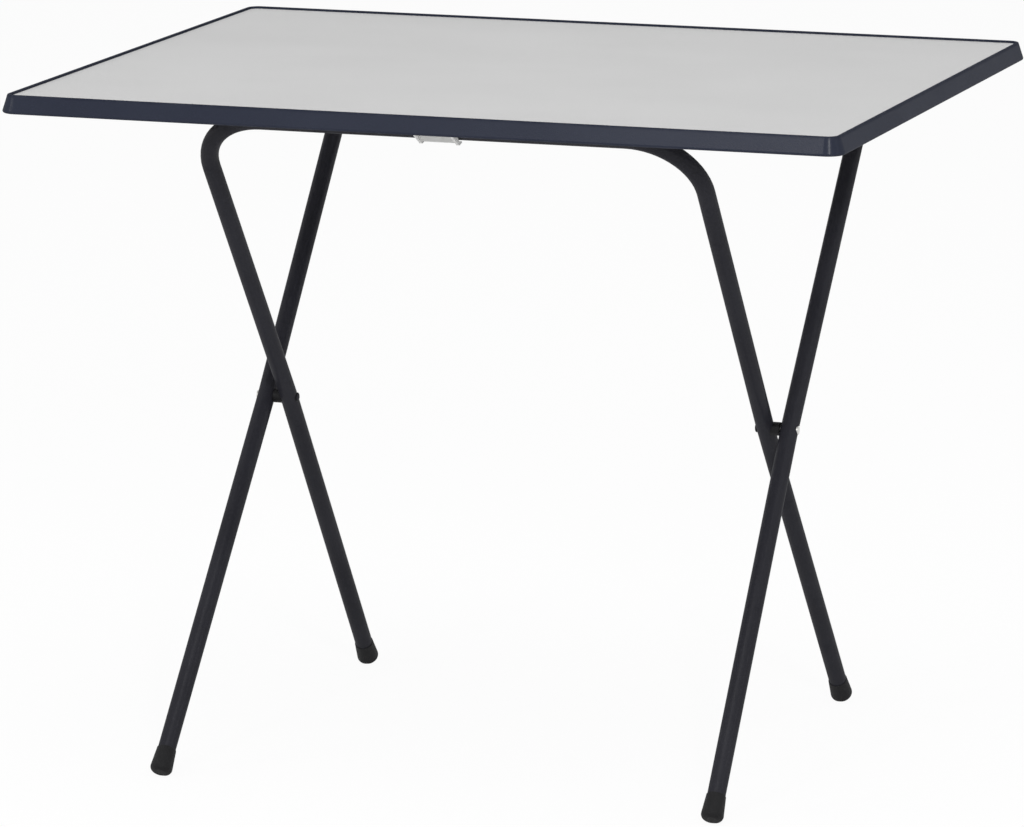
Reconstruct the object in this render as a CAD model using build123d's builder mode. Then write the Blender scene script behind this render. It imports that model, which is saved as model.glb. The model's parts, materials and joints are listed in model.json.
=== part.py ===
from build123d import *

import os
from math import atan2, cos, pi, sin, sqrt, tan

# Folding camping table: a panel in a moulded edge, on two bent tube frames that cross as scissors.
# X runs along the table, Y to its rear, Z up. The floor is Z = 0, under the middle of the top.

# Table top
top_length = 900.0
top_depth = 700.0
table_height = 720.0
corner_radius = 18.0
panel_thickness = 13.0

# Moulded edge that grips the panel
rim_skirt = 3.9
rim_batter = 6.2
rim_foot_round = 2.2
rim_crown_round = 1.4
lip_width = 3.0
lip_height = 2.4
lip_inner_round = 0.8
groove_bite = 1.4
lip_gap = 0.3
flange_width = 8.0

# Bent tube frames: the inner one rises to the front edge, the outer one to the rear edge
tube_diameter = 19.0
tube_wall = 1.2
bend_radius = 72.0
knee_radius = 400.0
front_bar_inset = 92.7
rear_bar_inset = 65.9
pivot_y = -4.6
pivot_z = 351.7
inner_pivot_half = 267.3
inner_bar_splay = 1.7
inner_foot_splay = 8.6
outer_bar_splay = 2.2
outer_foot_splay = 8.5

# Play between pieces that move on each other, and between pieces that only seat
bar_play = 0.3
running_play = 0.1
seat_gap = 0.12

# Pivots
spacer_gap = 7.1
spacer_diameter = 14.4
bolt_diameter = 5.0
bolt_head_diameter = 9.2
bolt_head_crown = 1.2
bolt_head_edge = 0.4
washer_diameter = 10.0
washer_web = 0.3
end_play = 0.15
end_cap_diameter = 8.6
end_cap_crown = 1.3
end_cap_edge = 0.4
end_cap_bore = 0.8

# Foot caps
cap_wall = 0.7
cap_overlap = 21.3
cap_sole = 6.5
cap_flare = 2.0
cap_round = 6.0
cap_mouth_round = 0.4
sole_flat = 0.8

# Straps that hang the top on the rear bar
strap_spacing = 300.0
strap_width = 22.0
strap_thickness = 1.5
strap_flange = 17.0
strap_bend_round = 1.2
strap_corner = 4.0

# Catch that holds the front bar
catch_width = 52.0
catch_base = 2.4
catch_front_reach = 50.0
catch_rear_reach = 13.0
catch_corner = 4.0
cheek_spacing = 40.0
cheek_thickness = 3.0
catch_wall = 2.0
catch_wall_drop = 1.4
hook_play = 1.9
hook_tip_forward = 4.5
hook_tip_drop = 5.0
hook_tip_round = 2.0
hook_lip_reach = 3.0
hook_lip_thickness = 1.2

# Screws into the underside of the panel
screw_diameter = 3.5
screw_thread = 9.5
screw_head_diameter = 7.0
screw_head_height = 2.0
screw_head_round = 1.3
pilot_play = 0.05
pilot_extra_depth = 0.5
catch_screw_spacing = 18.0
catch_screw_forward = 12.5

# Heights and insets that follow from the sizes above
tube_radius = tube_diameter / 2
bolt_radius = bolt_diameter / 2
rim_height = lip_height + panel_thickness + rim_skirt
rim_bottom = table_height - rim_height
panel_top = table_height - lip_height
panel_bottom = panel_top - panel_thickness
face_lean = atan2(rim_batter, rim_height)
rim_toe = rim_foot_round * (1 / tan((pi / 2 - face_lean) / 2) - 1)
lip_inner = rim_batter - rim_toe + lip_width
panel_inset = lip_inner - groove_bite
flange_inset = panel_inset + flange_width

# Frame widths at the pivots, the bars and the feet
outer_pivot_half = inner_pivot_half + tube_diameter + spacer_gap

# Bar centres: the rear bar lies under the panel, the front bar under the catch's base
catch_base_z = panel_bottom - catch_base
rear_bar_z = panel_bottom - bar_play - tube_radius
rear_bar_y = top_depth / 2 - rear_bar_inset
front_bar_z = catch_base_z - bar_play - tube_radius
front_bar_y = front_bar_inset - top_depth / 2

# Lean of each frame from upright, through its bar and the pivots
inner_lean = atan2(pivot_y - front_bar_y, front_bar_z - pivot_z)
outer_lean = atan2(rear_bar_y - pivot_y, rear_bar_z - pivot_z)

# Foot caps: sharp sole radius, and where the rounded sole's lowest ring lies
cap_mouth_radius = tube_radius + cap_wall
cap_sole_radius = cap_mouth_radius + cap_flare
cap_length = cap_overlap + cap_sole
cap_half_corner = (pi / 2 - atan2(cap_flare, cap_length)) / 2
cap_ring_radius = cap_sole_radius - cap_round / tan(cap_half_corner)

# Screw places, as X and Y
strap_screw_reach = tube_radius + bar_play + strap_thickness + strap_flange / 2
catch_wall_y = front_bar_y - tube_radius - bar_play - catch_wall
catch_screw_places = [
    (side * catch_screw_spacing / 2, catch_wall_y - catch_screw_forward) for side in (-1, 1)
]
sides = {"left": -1, "right": 1}
strap_screw_places = {
    name: [(side * strap_spacing / 2, rear_bar_y + end * strap_screw_reach) for end in (-1, 1)]
    for name, side in sides.items()
}

os.makedirs("parts", exist_ok=True)


def save(part, name):
    part.label = name
    export_step(part, f"parts/{name}.step")


def frame_plane(lean):
    """Plane of a bent frame: X across the table, Y up the legs, origin midway between the pivots."""
    across = Vector(1, 0, 0)
    up = Vector(0, -sin(lean), cos(lean))
    return Plane(origin=(0, pivot_y, pivot_z), x_dir=across, z_dir=across.cross(up))


def tube_end_reach(lean):
    """Length of leg from the pivot to the tube's end, for a foot cap that stands on the floor."""
    sole_ring = (cap_sole - cap_round) * cos(lean) + cap_ring_radius * sin(lean) + cap_round
    return (pivot_z - (sole_ring - sole_flat)) / cos(lean)


class LegFrame:
    """Sizes of one bent frame: half-widths at pivot, bar and foot, and reaches along the legs."""

    def __init__(self, lean, pivot_half, bar_splay, foot_splay, bar_z):
        self.plane = frame_plane(lean)
        self.pivot_half = pivot_half
        self.bar_half = pivot_half + bar_splay
        self.foot_half = pivot_half + foot_splay
        self.bar_reach = (bar_z - pivot_z) / cos(lean)
        self.foot_reach = tube_end_reach(abs(lean))

    def point(self, across, along):
        return self.plane.from_local_coords(Vector(across, along, 0))


inner = LegFrame(inner_lean, inner_pivot_half, inner_bar_splay, inner_foot_splay, front_bar_z)
outer = LegFrame(-outer_lean, outer_pivot_half, outer_bar_splay, outer_foot_splay, rear_bar_z)


def bent_frame(frame, bore_radius):
    """One tube bent to a U, slightly splayed below the pivots and drilled there for the bolts."""
    with BuildPart() as tube:
        with BuildLine(frame.plane) as route:
            FilletPolyline(
                (-frame.foot_half, -frame.foot_reach),
                (-frame.pivot_half, 0),
                (-frame.bar_half, frame.bar_reach),
                (frame.bar_half, frame.bar_reach),
                (frame.pivot_half, 0),
                (frame.foot_half, -frame.foot_reach),
                radius=[knee_radius, bend_radius, bend_radius, knee_radius],
            )
        with BuildSketch(Plane(origin=route.line @ 0, z_dir=route.line % 0)):
            Circle(tube_radius)
            Circle(tube_radius - tube_wall, mode=Mode.SUBTRACT)
        sweep(path=route.line)
        with Locations(*[(side * frame.pivot_half, pivot_y, pivot_z) for side in sides.values()]):
            Cylinder(bore_radius, 2 * tube_diameter, rotation=(0, 90, 0), mode=Mode.SUBTRACT)
    return tube.part


def foot_cap(frame, side):
    """Rubber cap pushed over a tube's end, flared to a rounded sole and flat where it stands."""
    knee = frame.point(side * frame.pivot_half, 0)
    tube_end = frame.point(side * frame.foot_half, -frame.foot_reach)
    down = (tube_end - knee).normalized()
    across = frame.plane.z_dir
    with BuildPart() as cap:
        with BuildSketch(Plane(origin=tube_end, x_dir=across, z_dir=across.cross(down))) as section:
            with BuildLine():
                Polyline(
                    (0, 0),
                    (tube_radius + pilot_play, 0),
                    (tube_radius + pilot_play, -cap_overlap),
                    (cap_mouth_radius, -cap_overlap),
                    (cap_sole_radius, cap_sole),
                    (0, cap_sole),
                    close=True,
                )
            make_face()
            fillet(section.vertices().sort_by_distance((cap_sole_radius, cap_sole))[0], cap_round)
            fillet(
                section.vertices().sort_by_distance((cap_mouth_radius, -cap_overlap))[0],
                cap_mouth_round,
            )
        revolve(axis=Axis(tube_end, down))
        split(bisect_by=Plane.XY, keep=Keep.TOP)
    return cap.part


def leg_core(frame, side):
    """Stretch of a leg's outside at its pivot, a little oversize, to seat pieces on the round tube."""
    across = side * frame.pivot_half
    seat = Plane(origin=frame.point(across, 0), x_dir=(1, 0, 0), z_dir=frame.plane.y_dir)
    return seat * Cylinder(tube_radius + seat_gap, 2 * tube_diameter, mode=Mode.PRIVATE)


def saddle_depth(radius):
    """How far a round piece of this radius reaches down the sides of the tube."""
    return tube_radius - sqrt(tube_radius**2 - radius**2)


def pivot_plane(side):
    """Section plane of a pivot: X outwards along the bolt, Y up from its axis."""
    return Plane(origin=(0, pivot_y, pivot_z), x_dir=(side, 0, 0), z_dir=(0, -side, 0))


pivot_axis = Axis((0, pivot_y, pivot_z), (1, 0, 0))
end_cap_seat = inner_pivot_half - tube_radius - washer_web - end_play


def pivot_bolt(side):
    crest = outer_pivot_half + tube_radius
    skirt = crest - saddle_depth(bolt_head_diameter / 2)
    head_radius = bolt_head_diameter / 2
    with BuildPart() as bolt:
        with BuildSketch(pivot_plane(side)):
            with BuildLine():
                Polyline((crest + bolt_head_crown, 0), (skirt, 0), (skirt, head_radius))
                Line((skirt, head_radius), (crest + bolt_head_edge, head_radius))
                TangentArc(
                    (crest + bolt_head_crown, 0),
                    (crest + bolt_head_edge, head_radius),
                    tangent=(0, 1),
                )
            make_face()
        revolve(axis=pivot_axis)
        add(leg_core(outer, side), mode=Mode.SUBTRACT)
        shank_end = end_cap_seat - end_cap_bore
        with BuildSketch(pivot_plane(side)):
            with Locations(((shank_end + crest + bolt_head_edge) / 2, bolt_radius / 2)):
                Rectangle(crest + bolt_head_edge - shank_end, bolt_radius)
        revolve(axis=pivot_axis)
    return bolt.part


def pivot_ring(side, start, end, ring_radius):
    """Ring round the bolt from start to end, shaped to the inner frame's tube."""
    bore_radius = bolt_radius + running_play
    with BuildPart() as ring:
        with BuildSketch(pivot_plane(side)):
            with Locations(((start + end) / 2, (bore_radius + ring_radius) / 2)):
                Rectangle(end - start, ring_radius - bore_radius)
        revolve(axis=pivot_axis)
        add(leg_core(inner, side), mode=Mode.SUBTRACT)
    return ring.part


def pivot_spacer(side):
    start = inner_pivot_half + tube_radius - saddle_depth(spacer_diameter / 2)
    end = outer_pivot_half - tube_radius - end_play
    return pivot_ring(side, start, end, spacer_diameter / 2)


def pivot_washer(side):
    start = inner_pivot_half - tube_radius - washer_web
    end = inner_pivot_half - tube_radius + saddle_depth(washer_diameter / 2)
    return pivot_ring(side, start, end, washer_diameter / 2)


def pivot_cap(side):
    """Low domed cap pressed on the bolt's end, on the side that faces the middle of the table."""
    cap_radius = end_cap_diameter / 2
    bore_radius = bolt_radius + pilot_play
    bore_end = end_cap_seat - end_cap_bore - pilot_play
    with BuildPart() as cap:
        with BuildSketch(pivot_plane(side)):
            with BuildLine():
                TangentArc(
                    (end_cap_seat - end_cap_crown, 0),
                    (end_cap_seat - end_cap_edge, cap_radius),
                    tangent=(0, 1),
                )
                Polyline(
                    (end_cap_seat - end_cap_edge, cap_radius),
                    (end_cap_seat, cap_radius),
                    (end_cap_seat, bore_radius),
                    (bore_end, bore_radius),
                    (bore_end, 0),
                    (end_cap_seat - end_cap_crown, 0),
                )
            make_face()
        revolve(axis=pivot_axis)
    return cap.part


def hinge_strap(side, screw_places):
    """Strap bent round the rear bar, with a flange before and behind it against the panel."""
    loop_inner = tube_radius + bar_play
    loop_outer = loop_inner + strap_thickness
    flange_under = panel_bottom - strap_thickness
    loop_rise = panel_bottom - rear_bar_z
    rise_middle = rear_bar_z + loop_rise / 2
    start = side * strap_spacing / 2 - strap_width / 2
    with BuildPart() as strap:
        with BuildSketch(Plane.YZ.offset(start)) as section:
            with Locations((rear_bar_y, rear_bar_z)):
                Circle(loop_outer)
            with Locations((rear_bar_y, rise_middle)):
                Rectangle(2 * loop_outer, loop_rise)
            with Locations((rear_bar_y, panel_bottom - strap_thickness / 2)):
                Rectangle(2 * (loop_outer + strap_flange), strap_thickness)
            with Locations((rear_bar_y, rear_bar_z)):
                Circle(loop_inner, mode=Mode.SUBTRACT)
            with Locations((rear_bar_y, rise_middle)):
                Rectangle(2 * loop_inner, loop_rise, mode=Mode.SUBTRACT)
            with Locations((rear_bar_y, panel_bottom + loop_outer / 2)):
                Rectangle(2 * loop_outer, loop_outer, mode=Mode.SUBTRACT)
            for end in (-1, 1):
                corner = (rear_bar_y + end * loop_outer, flange_under)
                fillet(section.vertices().sort_by_distance(corner)[0], strap_bend_round)
        extrude(amount=strap_width)
        flange_corners = strap.edges().filter_by(Axis.Z).group_by(Axis.Y)
        fillet(flange_corners[0] + flange_corners[-1], strap_corner)
        with Locations(*[(x, y, flange_under) for x, y in screw_places]):
            Cylinder(
                screw_diameter / 2 + pilot_play,
                strap_thickness,
                align=(Align.CENTER, Align.CENTER, Align.MIN),
                mode=Mode.SUBTRACT,
            )
    return strap.part


def screws(places, seat_z):
    """Pan-head screws driven upwards, heads under seat_z and threads in the panel."""
    with BuildPart() as group:
        with Locations(*[(x, y, seat_z) for x, y in places]):
            Cylinder(
                screw_head_diameter / 2,
                screw_head_height,
                align=(Align.CENTER, Align.CENTER, Align.MAX),
            )
            Cylinder(
                screw_diameter / 2,
                panel_bottom - seat_z + screw_thread,
                align=(Align.CENTER, Align.CENTER, Align.MIN),
            )
        fillet(group.edges().group_by(Axis.Z)[0], screw_head_round)
    return group.part


# Panel, with pilot holes for the screws of the catch and the straps
with BuildPart() as table_panel:
    with BuildSketch(Plane.XY.offset(panel_bottom)):
        RectangleRounded(
            top_length - 2 * panel_inset,
            top_depth - 2 * panel_inset,
            corner_radius - panel_inset,
        )
    extrude(amount=panel_thickness)
    chamfer(table_panel.faces().sort_by(Axis.Z)[-1].edges(), groove_bite + lip_gap)
    pilot_places = catch_screw_places + strap_screw_places["left"] + strap_screw_places["right"]
    with Locations(*[(x, y, panel_bottom) for x, y in pilot_places]):
        Cylinder(
            screw_diameter / 2 + pilot_play,
            screw_thread + pilot_extra_depth,
            align=(Align.CENTER, Align.CENTER, Align.MIN),
            mode=Mode.SUBTRACT,
        )
save(table_panel.part, "table_panel")

# Edge moulding: one battered section with a lip, a groove and a flange, run round the panel
with BuildPart() as edge_rim:
    with BuildLine(Plane.XY.offset(rim_bottom)) as rim_route:
        FilletPolyline(
            (-top_length / 2, -top_depth / 2),
            (top_length / 2, -top_depth / 2),
            (top_length / 2, top_depth / 2),
            (-top_length / 2, top_depth / 2),
            radius=corner_radius,
            close=True,
        )
    run = rim_route.line % 0
    outwards = run.cross(Vector(0, 0, 1))
    with BuildSketch(Plane(origin=rim_route.line @ 0, x_dir=outwards, z_dir=run * -1)) as rim_section:
        with BuildLine():
            Polyline(
                (rim_toe, 0),
                (rim_toe - rim_batter, rim_height),
                (-lip_inner, rim_height),
                (-lip_inner, rim_height - lip_height),
                (-panel_inset, rim_height - lip_height - groove_bite),
                (-panel_inset, rim_skirt),
                (-flange_inset, rim_skirt),
                (-flange_inset, 0),
                close=True,
            )
        make_face()
        fillet(rim_section.vertices().sort_by_distance((rim_toe, 0))[0], rim_foot_round)
        crown = (rim_toe - rim_batter, rim_height)
        fillet(rim_section.vertices().sort_by_distance(crown)[0], rim_crown_round)
        fillet(rim_section.vertices().sort_by_distance((-lip_inner, rim_height))[0], lip_inner_round)
    sweep(path=rim_route.line)
save(edge_rim.part, "edge_rim")

# Front catch: base plate, a wall in front of the bar and two cheeks that hook under it
with BuildPart() as front_catch:
    with BuildSketch(Plane.XY.offset(catch_base_z)):
        with Locations((0, front_bar_y + (catch_rear_reach - catch_front_reach) / 2)):
            RectangleRounded(catch_width, catch_front_reach + catch_rear_reach, catch_corner)
    extrude(amount=catch_base)
    wall_bottom = front_bar_z - tube_radius - catch_wall_drop
    with BuildSketch(Plane.YZ.offset(-cheek_spacing / 2)):
        with Locations((catch_wall_y + catch_wall / 2, (wall_bottom + catch_base_z) / 2)):
            Rectangle(catch_wall, catch_base_z - wall_bottom)
    extrude(amount=cheek_spacing)
    lip_top = front_bar_z - tube_radius - hook_play
    lip_end = front_bar_y + hook_lip_reach
    hook_tip = (front_bar_y - hook_tip_forward, front_bar_z - tube_radius - hook_tip_drop)
    for side in sides.values():
        with BuildSketch(Plane.YZ.offset(side * cheek_spacing / 2 - cheek_thickness / 2)) as cheek:
            with BuildLine():
                Polyline(
                    (front_bar_y - catch_front_reach + catch_corner, catch_base_z),
                    hook_tip,
                    (lip_end, lip_top - hook_lip_thickness),
                    (lip_end, catch_base_z),
                    close=True,
                )
            make_face()
            fillet(cheek.vertices().sort_by_distance(hook_tip)[0], hook_tip_round)
        extrude(amount=cheek_thickness)
    with BuildSketch(Plane.YZ.offset(-catch_width / 2)):
        bar_room = tube_radius + bar_play
        with Locations((front_bar_y, front_bar_z)):
            Circle(bar_room)
        with Locations((front_bar_y, lip_top + bar_room)):
            Circle(bar_room)
        with Locations((front_bar_y, (lip_top + bar_room + front_bar_z) / 2)):
            Rectangle(2 * bar_room, front_bar_z - lip_top - bar_room)
        with Locations((front_bar_y + bar_room / 2, (lip_top + catch_base_z) / 2)):
            Rectangle(bar_room, catch_base_z - lip_top)
    extrude(amount=catch_width, mode=Mode.SUBTRACT)
    with Locations(*[(x, y, catch_base_z) for x, y in catch_screw_places]):
        Cylinder(
            screw_diameter / 2 + pilot_play,
            catch_base,
            align=(Align.CENTER, Align.CENTER, Align.MIN),
            mode=Mode.SUBTRACT,
        )
save(front_catch.part, "front_catch")
save(screws(catch_screw_places, catch_base_z), "catch_screws")

# The two frames
save(bent_frame(inner, bolt_radius + running_play), "inner_frame")
save(bent_frame(outer, bolt_radius + pilot_play), "outer_frame")

# Pieces that come in left and right
for name, side in sides.items():
    save(foot_cap(outer, side), f"foot_front_{name}")
    save(foot_cap(inner, side), f"foot_rear_{name}")
    save(pivot_bolt(side), f"pivot_bolt_{name}")
    save(pivot_cap(side), f"pivot_cap_{name}")
    save(pivot_spacer(side), f"pivot_spacer_{name}")
    save(pivot_washer(side), f"pivot_washer_{name}")
    places = strap_screw_places[name]
    save(hinge_strap(side, places), f"hinge_strap_{name}")
    save(screws(places, panel_bottom - strap_thickness), f"strap_screws_{name}")
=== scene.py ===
import json
from math import cos, radians, sin

import bpy
from mathutils import Matrix, Vector


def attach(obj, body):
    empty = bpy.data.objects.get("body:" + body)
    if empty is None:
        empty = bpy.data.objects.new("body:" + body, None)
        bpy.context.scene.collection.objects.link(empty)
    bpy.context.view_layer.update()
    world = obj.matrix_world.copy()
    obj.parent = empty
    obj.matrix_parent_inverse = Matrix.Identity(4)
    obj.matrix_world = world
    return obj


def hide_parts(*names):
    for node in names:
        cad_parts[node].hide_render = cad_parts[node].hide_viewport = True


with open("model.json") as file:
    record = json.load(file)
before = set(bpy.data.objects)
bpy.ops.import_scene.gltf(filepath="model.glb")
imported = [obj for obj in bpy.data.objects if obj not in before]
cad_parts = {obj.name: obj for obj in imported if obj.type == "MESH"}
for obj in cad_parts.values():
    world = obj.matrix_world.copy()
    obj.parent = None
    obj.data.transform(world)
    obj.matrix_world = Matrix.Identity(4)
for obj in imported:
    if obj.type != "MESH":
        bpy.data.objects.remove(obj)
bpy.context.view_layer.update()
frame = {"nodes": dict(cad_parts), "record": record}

# Screws, in metres. Their heads point down, and their threads go up into the board.
SCREW_SIDES = 40
SCREW_HEAD_RADIUS = 0.0035
SCREW_HEAD_HEIGHT = 0.002
SCREW_HEAD_ROUNDING = 0.0013
SCREW_THREAD_RADIUS = 0.00175
SCREW_ROOT_RADIUS = 0.00135
SCREW_PITCH = 0.0013
SCREW_TURNS = 7
SCREW_POINT_LENGTH = 0.0016
SCREW_POINT_SHARE = 0.1
SCREW_SMOOTH_ANGLE = radians(32.0)
# One ring of the thread: rise as a share of the pitch, and 1 to swell, -1 to shrink back or 0
THREAD_STEPS = ((0.25, 0), (0.25, 1), (0.15, 0), (0.35, -1))
# Blades of the cross recess. Half of each stands out of the head, so it is twice as deep as its cut.
BLADE_LONG = 0.0042
BLADE_THICK = 0.0009
BLADE_DEEP = 0.0026
BLADE_TAPER = 0.55

# Places of the screws, in metres, each with its own turn in degrees
CATCH_X = 0.009
CATCH_Y = -0.2816
CATCH_SEAT = 0.7022
STRAP_X = 0.150
STRAP_FRONT_Y = 0.2643
STRAP_REAR_Y = 0.3039
STRAP_SEAT = 0.7031
SCREW_PLACES = {
    "catch_screws": (
        ((-CATCH_X, CATCH_Y, CATCH_SEAT), 12.0),
        ((CATCH_X, CATCH_Y, CATCH_SEAT), 51.0),
    ),
    "strap_screws_left": (
        ((-STRAP_X, STRAP_FRONT_Y, STRAP_SEAT), 33.0),
        ((-STRAP_X, STRAP_REAR_Y, STRAP_SEAT), 78.0),
    ),
    "strap_screws_right": (
        ((STRAP_X, STRAP_FRONT_Y, STRAP_SEAT), 5.0),
        ((STRAP_X, STRAP_REAR_Y, STRAP_SEAT), 64.0),
    ),
}

# Faces whose normal is this near to straight up or down count as flat
FLAT = 0.9
UP = 1
DOWN = -1

# Heights at which the finishes change, in metres
# The crown heights also mark where painted shade darkens the top of the edge
EDGE_CROWN_BEGINS = 0.7165
EDGE_CROWN_FULL = 0.7195
EDGE_FOOT_FULL = 0.7007
EDGE_FOOT_ENDS = 0.7029
DUST_FULL = 0.001
DUST_ENDS = 0.012

# Colours: linear red, green, blue and alpha
WHITE = (1.0, 1.0, 1.0, 1.0)
LAMINATE_DARK = (0.509, 0.509, 0.509, 1.0)
LAMINATE_PALE = (0.556, 0.556, 0.556, 1.0)
LAMINATE_FLECK = (0.411, 0.411, 0.411, 1.0)
NAVY_DARK = (0.0212, 0.0248, 0.0405, 1.0)
NAVY_PALE = (0.0264, 0.0310, 0.0487, 1.0)
# Darker navy: the dark flecks of the leather grain, and painted shade along the edge's crown
NAVY_GRAIN_AND_CROWN_SHADE = (0.0145, 0.0172, 0.0300, 1.0)
NAVY_RUBBED = (0.07, 0.075, 0.095, 1.0)
COAT_DARK = (0.0188, 0.0188, 0.0242, 1.0)
COAT_PALE = (0.0238, 0.0238, 0.0302, 1.0)
COAT_FLECK = (0.046, 0.046, 0.052, 1.0)
RUBBER_CLEAN = (0.0075, 0.0075, 0.0085, 1.0)
RUBBER_DUSTY = (0.036, 0.035, 0.033, 1.0)
CATCH_DARK = (0.70, 0.70, 0.69, 1.0)
CATCH_PALE = (0.77, 0.77, 0.76, 1.0)
SPACER_DARK = (0.006, 0.006, 0.007, 1.0)
SPACER_PALE = (0.009, 0.009, 0.010, 1.0)
ZINC_DULL = (0.56, 0.56, 0.55, 1.0)
ZINC_BRIGHT = (0.74, 0.73, 0.70, 1.0)

# Floor and surroundings
FLOOR_SIZE = 60.0
FLOOR_PAPER = (0.86, 0.86, 0.86, 1.0)
FLOOR_LIT = (0.97, 0.97, 0.97, 1.0)
FLOOR_GLOW_SHARE = 0.94
SKY_LIGHT = 0.41
SKY_SEEN = 0.59

# Lamps: name, place, the point that it faces, width and height in metres, power in watts
LAMPS = (
    ("overhead_lamp", (0.4, -0.7, 4.6), (0.0, 0.0, 0.4), 3.6, 3.0, 79.0),
    ("front_strip_lamp", (-0.93, -4.92, 2.95), (0.4, -0.35, 0.7), 0.35, 1.4, 32.0),
    ("corner_strip_lamp", (2.50, -4.67, 2.85), (0.43, -0.34, 0.71), 0.42, 1.0, 96.0),
    ("left_strip_lamp", (-4.2, -3.4, 2.4), (0.0, 0.0, 0.45), 0.5, 2.6, 36.0),
    ("right_strip_lamp", (4.8, -0.6, 2.2), (0.0, 0.0, 0.45), 0.3, 2.6, 9.0),
)

# Camera: place in metres, angles, and lens in millimetres
CAMERA_PLACE = (2.314988, -6.602047, 1.765077)
CAMERA_YAW = radians(19.4439)
CAMERA_PITCH = radians(11.4398)
CAMERA_ROLL = radians(0.2148)
CAMERA_LENS = 236.740
CAMERA_SENSOR = 36.0
CAMERA_REACH = 100.0

# Colour sockets of the Mix node, which shares their names with its other sockets
MIX_FIRST = 6
MIX_SECOND = 7
MIX_RESULT = 2


class Value:
    """One socket of a finish, with operators that add Math nodes."""

    def __init__(self, finish, socket):
        self.finish = finish
        self.socket = socket

    def maths(self, operation, first, second):
        node = self.finish.node("ShaderNodeMath", {"operation": operation}, {0: first, 1: second})
        return node["Value"]

    def __add__(self, other):
        return self.maths("ADD", self, other)

    def __radd__(self, other):
        return self.maths("ADD", other, self)

    def __sub__(self, other):
        return self.maths("SUBTRACT", self, other)

    def __rsub__(self, other):
        return self.maths("SUBTRACT", other, self)

    def __mul__(self, other):
        return self.maths("MULTIPLY", self, other)

    def __rmul__(self, other):
        return self.maths("MULTIPLY", other, self)


class Node:
    """A node whose outputs are read as values by name or number."""

    def __init__(self, finish, node):
        self.finish = finish
        self.node = node

    def __getitem__(self, output):
        return Value(self.finish, self.node.outputs[output])


class Finish:
    """A node material on Object coordinates, in metres."""

    def __init__(self, name, constants):
        self.material = bpy.data.materials.new(name)
        self.material.use_nodes = True
        self.tree = self.material.node_tree
        self.shader = self.tree.nodes["Principled BSDF"]
        self.coordinates = None
        for socket, value in constants.items():
            self.shader.inputs[socket].default_value = value

    def node(self, kind, settings, inputs):
        node = self.tree.nodes.new(kind)
        for name, value in settings.items():
            setattr(node, name, value)
        for name, value in inputs.items():
            self.feed(node.inputs[name], value)
        return Node(self, node)

    def feed(self, socket, value):
        if isinstance(value, Value):
            self.tree.links.new(value.socket, socket)
        else:
            socket.default_value = value

    def place(self):
        if self.coordinates is None:
            self.coordinates = self.node("ShaderNodeTexCoord", {}, {})["Object"]
        return self.coordinates

    def stretched(self, scale):
        mapping = self.node("ShaderNodeMapping", {}, {"Vector": self.place(), "Scale": scale})
        return mapping["Vector"]

    def noise(self, scale, detail, roughness=0.5, vector=None):
        inputs = {
            "Vector": vector or self.place(),
            "Scale": scale,
            "Detail": detail,
            "Roughness": roughness,
        }
        return self.node("ShaderNodeTexNoise", {}, inputs)["Fac"]

    def height(self):
        return self.node("ShaderNodeSeparateXYZ", {}, {"Vector": self.place()})["Z"]

    def between(self, value, low, high):
        """0 below low, 1 above high, smooth between."""
        inputs = {"Value": value, "From Min": low, "From Max": high}
        return self.node("ShaderNodeMapRange", {"interpolation_type": "SMOOTHSTEP"}, inputs)["Result"]

    def blend(self, factor, first, second):
        """First colour where factor is 0, second where it is 1."""
        inputs = {"Factor": factor, MIX_FIRST: first, MIX_SECOND: second}
        return self.node("ShaderNodeMix", {"data_type": "RGBA"}, inputs)[MIX_RESULT]

    def bump(self, relief, depth, strength):
        inputs = {"Height": relief, "Distance": depth, "Strength": strength}
        return self.node("ShaderNodeBump", {}, inputs)["Normal"]

    def finish(self, surface):
        for socket, value in surface.items():
            self.feed(self.shader.inputs[socket], value)
        return self.material


class Surroundings(Finish):
    """The world's node tree, built like a finish."""

    def __init__(self, world):
        world.use_nodes = True
        self.tree = world.node_tree
        self.coordinates = None


def grey_laminate():
    """Board: even light grey with a fine pebbled press texture and faint wiping marks."""
    look = Finish("grey_laminate", {"Specular IOR Level": 0.2})
    speckle = look.noise(scale=1500.0, detail=2.0)
    fleck = look.between(look.noise(scale=2400.0, detail=3.0, roughness=0.6), low=0.58, high=0.72)
    cloud = look.noise(scale=5.0, detail=3.0)
    wipe = look.noise(scale=6.0, detail=3.0, vector=look.stretched((1.0, 2.5, 1.0)))
    wiped = look.between(wipe, low=0.35, high=0.7)
    shade = look.between(speckle * 0.65 + cloud * 0.35, low=0.3, high=0.7)
    tone = look.blend(shade, LAMINATE_DARK, LAMINATE_PALE)
    pebble = look.noise(scale=900.0, detail=3.0)
    return look.finish({
        "Base Color": look.blend(fleck * 0.5, tone, LAMINATE_FLECK),
        "Roughness": 0.47 + 0.035 * wiped + 0.05 * speckle,
        "Normal": look.bump(pebble * 0.8 + speckle * 0.2, depth=0.0004, strength=0.9),
    })


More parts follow.
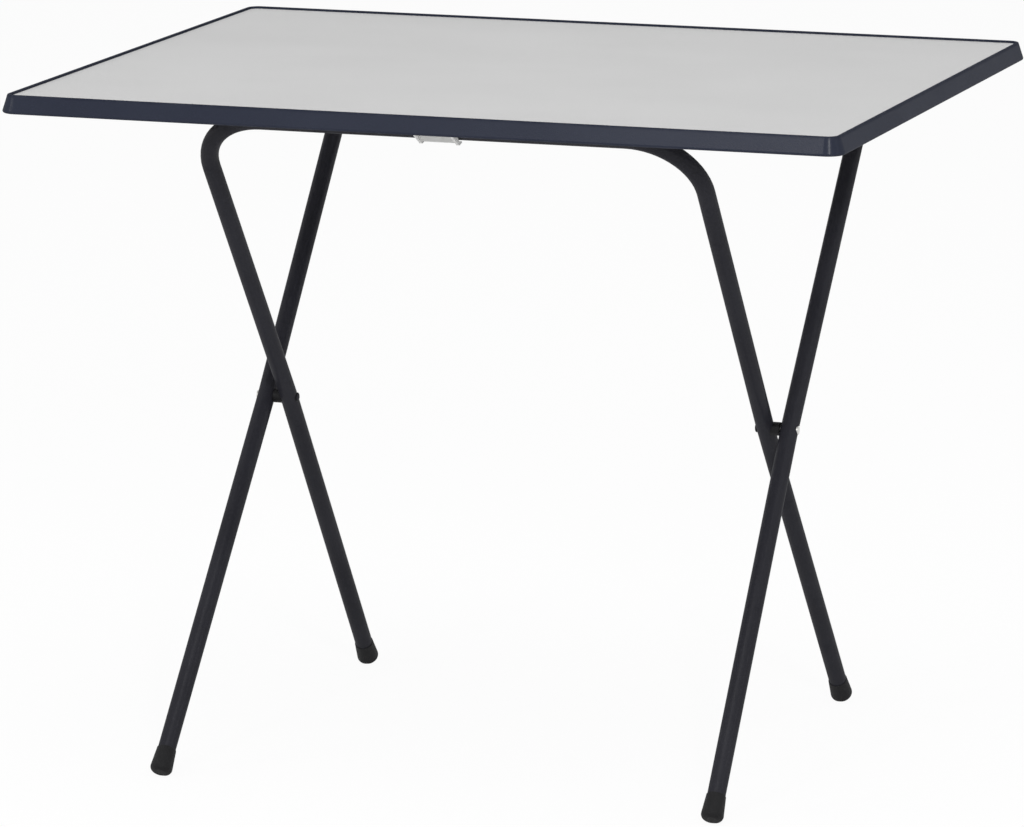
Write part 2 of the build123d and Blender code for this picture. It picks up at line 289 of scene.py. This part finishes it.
def edge_moulding():
    """Edge: navy-grey plastic with a leather grain, rubbed paler along crown and foot; painted shade
    darkens the crown.
    """
    look = Finish("navy_edge_moulding", {"Specular IOR Level": 0.0, "Coat Roughness": 0.25})
    grain = look.noise(scale=1800.0, detail=3.0)
    leather = look.between(look.noise(scale=1000.0, detail=2.0), low=0.42, high=0.60)
    cloud = look.noise(scale=9.0, detail=3.0)
    height = look.height()
    # Crown band: rubbed wear, painted shade in the colour, and a thinner coat
    crown = look.between(height, low=EDGE_CROWN_BEGINS, high=EDGE_CROWN_FULL)
    foot = 1.0 - look.between(height, low=EDGE_FOOT_FULL, high=EDGE_FOOT_ENDS)
    wear = look.between(look.noise(scale=45.0, detail=6.0, roughness=0.65), low=0.42, high=0.68)
    rubbed = wear * (0.4 * crown + foot)
    tone = look.blend(cloud, NAVY_DARK, NAVY_PALE)
    # Painted shade: the crown is darkened here, along with the darker leather grain
    grain_and_crown_shade = look.blend(leather * 0.18 + crown * 0.4, tone, NAVY_GRAIN_AND_CROWN_SHADE)
    return look.finish({
        "Base Color": look.blend(rubbed * 0.45, grain_and_crown_shade, NAVY_RUBBED),
        "Roughness": 0.44 + 0.12 * cloud + 0.06 * grain - 0.06 * rubbed,
        "Coat Weight": 0.12 + 0.06 * cloud + 0.06 * leather - 0.04 * rubbed - 0.09 * crown,
        "Normal": look.bump(grain * 0.5 - leather * 0.5, depth=0.0003, strength=0.5),
    })


def powder_coat(name):
    """Black powder coat: semi-gloss, with the slight orange peel of a baked coat and faint rubbing."""
    look = Finish(name, {"Specular IOR Level": 0.0, "Coat Roughness": 0.28})
    peel = look.between(look.noise(scale=650.0, detail=2.0), low=0.38, high=0.62)
    fleck = look.noise(scale=2600.0, detail=2.0)
    speck = look.between(fleck, low=0.52, high=0.70)
    rub = look.between(look.noise(scale=24.0, detail=5.0, roughness=0.65), low=0.56, high=0.75)
    cloud = look.between(look.noise(scale=7.0, detail=2.0), low=0.35, high=0.65)
    tone = look.blend(cloud, COAT_DARK, COAT_PALE)
    return look.finish({
        "Base Color": look.blend(speck * 0.1, tone, COAT_FLECK),
        "Roughness": 0.40 + 0.10 * rub + 0.05 * fleck,
        "Coat Weight": 0.19 + 0.05 * peel - 0.08 * rub,
        "Normal": look.bump(peel * 0.8 + fleck * 0.2, depth=0.0004, strength=0.4),
    })


def foot_rubber():
    """Foot caps: matt black rubber, fine mould grain, dusty and scuffed near the floor."""
    look = Finish("black_foot_rubber", {"Specular IOR Level": 0.2})
    grain = look.noise(scale=1400.0, detail=3.0)
    dust = look.between(look.noise(scale=260.0, detail=5.0, roughness=0.65), low=0.4, high=0.7)
    near_floor = 1.0 - look.between(look.height(), low=DUST_FULL, high=DUST_ENDS)
    dusty = dust * (0.15 + 0.85 * near_floor)
    return look.finish({
        "Base Color": look.blend(dusty * 0.4, RUBBER_CLEAN, RUBBER_DUSTY),
        "Roughness": 0.62 + 0.2 * dusty + 0.08 * grain,
        "Normal": look.bump(grain, depth=0.0005, strength=0.9),
    })


def moulded_plastic(name, dark, pale, roughness, mirror):
    """Small injection mouldings: fine spark-eroded grain and a slight unevenness of tone."""
    look = Finish(name, {"Specular IOR Level": mirror})
    grain = look.noise(scale=2200.0, detail=3.0)
    flow = look.noise(scale=60.0, detail=3.0)
    return look.finish({
        "Base Color": look.blend(look.between(flow, low=0.3, high=0.7), dark, pale),
        "Roughness": roughness + 0.12 * flow + 0.05 * grain,
        "Normal": look.bump(grain, depth=0.0003, strength=0.6),
    })


def zinc_plate(name, spin):
    """Zinc plate: bright, with fine turning or drawing marks and cloudy passivation."""
    look = Finish(name, {})
    turning = look.noise(scale=900.0, detail=3.0, roughness=0.6, vector=look.stretched(spin))
    cloud = look.noise(scale=220.0, detail=4.0)
    return look.finish({
        "Base Color": look.blend(look.between(cloud, low=0.3, high=0.7), ZINC_DULL, ZINC_BRIGHT),
        "Metallic": 0.9 + 0.1 * cloud,
        "Roughness": 0.24 + 0.16 * turning + 0.08 * cloud,
        "Normal": look.bump(turning, depth=0.0001, strength=0.25),
    })


def coat_nodes():
    """Gives each CAD node the finish of its slot."""
    finishes = {
        "top_board": grey_laminate(),
        "edge_moulding": edge_moulding(),
        "frame_coat": powder_coat("black_powder_coat"),
        "strap_steel": powder_coat("black_strap_coat"),
        "foot_rubber": foot_rubber(),
        "catch_plastic": moulded_plastic(
            "pale_catch_plastic", CATCH_DARK, CATCH_PALE, roughness=0.38, mirror=0.5
        ),
        "spacer_plastic": moulded_plastic(
            "black_spacer_plastic", SPACER_DARK, SPACER_PALE, roughness=0.42, mirror=0.15
        ),
        "cap_coat": powder_coat("black_cap_coat"),
        "bolt_zinc": zinc_plate("zinc_bolt", spin=(0.2, 1.0, 1.0)),
        "screw_zinc": zinc_plate("zinc_screw", spin=(1.0, 1.0, 0.2)),
    }
    for entry in frame["record"]["subparts"]:
        node = frame["nodes"][entry["node"]]
        node.data.materials.clear()
        node.data.materials.append(finishes[entry["material_slot"]])
    return finishes


def select_only(*pieces):
    """Leaves just these objects selected, the first of them active."""
    bpy.ops.object.select_all(action="DESELECT")
    for piece in pieces:
        piece.select_set(True)
    if pieces:
        bpy.context.view_layer.objects.active = pieces[0]


def delete_piece(piece):
    """Removes one object."""
    select_only(piece)
    bpy.ops.object.delete()


def select_flat(piece, direction):
    """Selects the flat faces that point up or down, and stays in edit mode."""
    bpy.ops.object.mode_set(mode="EDIT")
    bpy.ops.mesh.select_mode(type="FACE")
    bpy.ops.mesh.select_all(action="DESELECT")
    bpy.ops.object.mode_set(mode="OBJECT")
    for face in piece.data.polygons:
        face.select = direction * face.normal.z > FLAT
    bpy.ops.object.mode_set(mode="EDIT")


def pull_up(rise, scale):
    """Extrudes the selected faces upwards and widens or narrows them."""
    bpy.ops.mesh.extrude_region_move(TRANSFORM_OT_translate={"value": (0.0, 0.0, rise)})
    bpy.ops.transform.resize(value=(scale, scale, 1.0))


def recess_blade(length, width):
    """One tapered blade of the cross recess, centred on the outer face of the head."""
    select_only()
    bpy.ops.mesh.primitive_cube_add(size=1.0, location=(0.0, 0.0, -SCREW_HEAD_HEIGHT))
    blade = bpy.context.object
    bpy.ops.transform.resize(value=(length, width, BLADE_DEEP))
    bpy.ops.object.transform_apply(location=True, rotation=False, scale=True)
    select_flat(blade, UP)
    bpy.ops.transform.resize(value=(BLADE_TAPER, BLADE_TAPER, 1.0))
    bpy.ops.object.mode_set(mode="OBJECT")
    return blade


def cut_recess(screw, blade):
    """Cuts a blade out of the screw's head and removes the blade."""
    cut = screw.modifiers.new("recess", "BOOLEAN")
    cut.operation = "DIFFERENCE"
    cut.solver = "EXACT"
    cut.object = blade
    select_only(screw)
    bpy.ops.object.modifier_apply(modifier=cut.name)
    delete_piece(blade)


def pan_head_screw():
    """One pan-head wood screw with a cross recess and a ringed thread, its seat at the origin."""
    select_only()
    bpy.ops.mesh.primitive_cylinder_add(
        vertices=SCREW_SIDES,
        radius=SCREW_HEAD_RADIUS,
        depth=SCREW_HEAD_HEIGHT,
        location=(0.0, 0.0, -SCREW_HEAD_HEIGHT / 2),
    )
    screw = bpy.context.object
    bpy.ops.object.transform_apply(location=True, rotation=False, scale=False)
    select_flat(screw, DOWN)
    bpy.ops.mesh.bevel(offset=SCREW_HEAD_ROUNDING, segments=5, affect="EDGES")
    select_flat(screw, UP)
    bpy.ops.mesh.inset(thickness=SCREW_HEAD_RADIUS - SCREW_ROOT_RADIUS)
    swell = SCREW_THREAD_RADIUS / SCREW_ROOT_RADIUS
    for rise, step in THREAD_STEPS * SCREW_TURNS:
        pull_up(rise * SCREW_PITCH, swell ** step)
    pull_up(SCREW_POINT_LENGTH, SCREW_POINT_SHARE)
    bpy.ops.object.mode_set(mode="OBJECT")
    for length, width in ((BLADE_LONG, BLADE_THICK), (BLADE_THICK, BLADE_LONG)):
        cut_recess(screw, recess_blade(length, width))
    select_only(screw)
    bpy.ops.object.shade_smooth_by_angle(angle=SCREW_SMOOTH_ANGLE)
    return screw


def drive_screws(steel):
    """Puts a recessed screw in place of each plain CAD screw, every one turned differently."""
    pattern = pan_head_screw()
    for node, places in SCREW_PLACES.items():
        pair = []
        for place, turn in places:
            copy = pattern.copy()
            copy.data = pattern.data.copy()
            bpy.context.scene.collection.objects.link(copy)
            copy.matrix_world = Matrix.Translation(place) @ Matrix.Rotation(radians(turn), 4, "Z")
            pair.append(copy)
        select_only(*pair)
        bpy.ops.object.transform_apply(location=True, rotation=True, scale=True)
        bpy.ops.object.join()
        screws = bpy.context.object
        screws.name = f"{node}_recessed"
        screws.data.materials.clear()
        screws.data.materials.append(steel)
        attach(screws, "table_top")
        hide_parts(node)
    delete_piece(pattern)


def seen_factor(finish):
    """1 for what the camera sees directly, in a mirror or through glass."""
    path = finish.node("ShaderNodeLightPath", {}, {})
    direct = path["Is Camera Ray"]
    mirrored = direct.maths("MAXIMUM", direct, path["Is Glossy Ray"])
    return mirrored.maths("MAXIMUM", mirrored, path["Is Transmission Ray"])


def lay_floor():
    """Plain pale floor that keeps the table's soft shadow."""
    select_only()
    bpy.ops.mesh.primitive_plane_add(size=FLOOR_SIZE, location=(0.0, 0.0, 0.0))
    floor = bpy.context.object
    floor.name = "studio_floor"
    look = Finish("pale_floor", {})
    nodes = look.tree.nodes
    nodes.remove(look.shader)
    paper = look.node("ShaderNodeBsdfDiffuse", {}, {"Color": FLOOR_PAPER})["BSDF"]
    lit = look.node("ShaderNodeBsdfDiffuse", {}, {"Color": FLOOR_LIT})["BSDF"]
    glow = look.node("ShaderNodeEmission", {}, {"Color": WHITE, "Strength": 1.0})["Emission"]
    pale = look.node("ShaderNodeMixShader", {}, {0: FLOOR_GLOW_SHARE, 1: lit, 2: glow})["Shader"]
    seen = look.node("ShaderNodeMixShader", {}, {0: seen_factor(look), 1: paper, 2: pale})["Shader"]
    look.feed(nodes["Material Output"].inputs["Surface"], seen)
    floor.data.materials.append(look.material)


def light_studio():
    """White surroundings, a broad soft lamp overhead and strip lamps that streak edge and tubes."""
    world = bpy.data.worlds.new("white_studio")
    bpy.context.scene.world = world
    look = Surroundings(world)
    background = look.tree.nodes["Background"]
    background.inputs["Color"].default_value = WHITE
    look.feed(background.inputs["Strength"], SKY_LIGHT + SKY_SEEN * seen_factor(look))
    for name, place, aim, width, height, power in LAMPS:
        lamp = bpy.data.lights.new(name, "AREA")
        lamp.shape = "RECTANGLE"
        lamp.size = width
        lamp.size_y = height
        lamp.energy = power
        stand = bpy.data.objects.new(name, lamp)
        stand.location = place
        stand.rotation_euler = (Vector(aim) - Vector(place)).to_track_quat("-Z", "Y").to_euler()
        bpy.context.scene.collection.objects.link(stand)


def set_camera():
    """Long lens from the front right and a little above the table."""
    flat_ahead = Vector((-sin(CAMERA_YAW), cos(CAMERA_YAW), 0.0))
    ahead = cos(CAMERA_PITCH) * flat_ahead - sin(CAMERA_PITCH) * Vector((0.0, 0.0, 1.0))
    level = Vector((cos(CAMERA_YAW), sin(CAMERA_YAW), 0.0))
    down = ahead.cross(level)
    right = cos(CAMERA_ROLL) * level + sin(CAMERA_ROLL) * down
    up = sin(CAMERA_ROLL) * level - cos(CAMERA_ROLL) * down
    lens = bpy.data.cameras.new("photo_lens")
    lens.sensor_fit = "HORIZONTAL"
    lens.sensor_width = CAMERA_SENSOR
    lens.lens = CAMERA_LENS
    lens.clip_end = CAMERA_REACH
    camera = bpy.data.objects.new("photo_camera", lens)
    turn = Matrix((right, up, -ahead)).transposed().to_4x4()
    camera.matrix_world = Matrix.Translation(CAMERA_PLACE) @ turn
    bpy.context.scene.collection.objects.link(camera)
    bpy.context.scene.camera = camera


finishes = coat_nodes()
drive_screws(finishes["screw_zinc"])
lay_floor()
light_studio()
set_camera()
bpy.context.scene.view_settings.view_transform = "Standard"
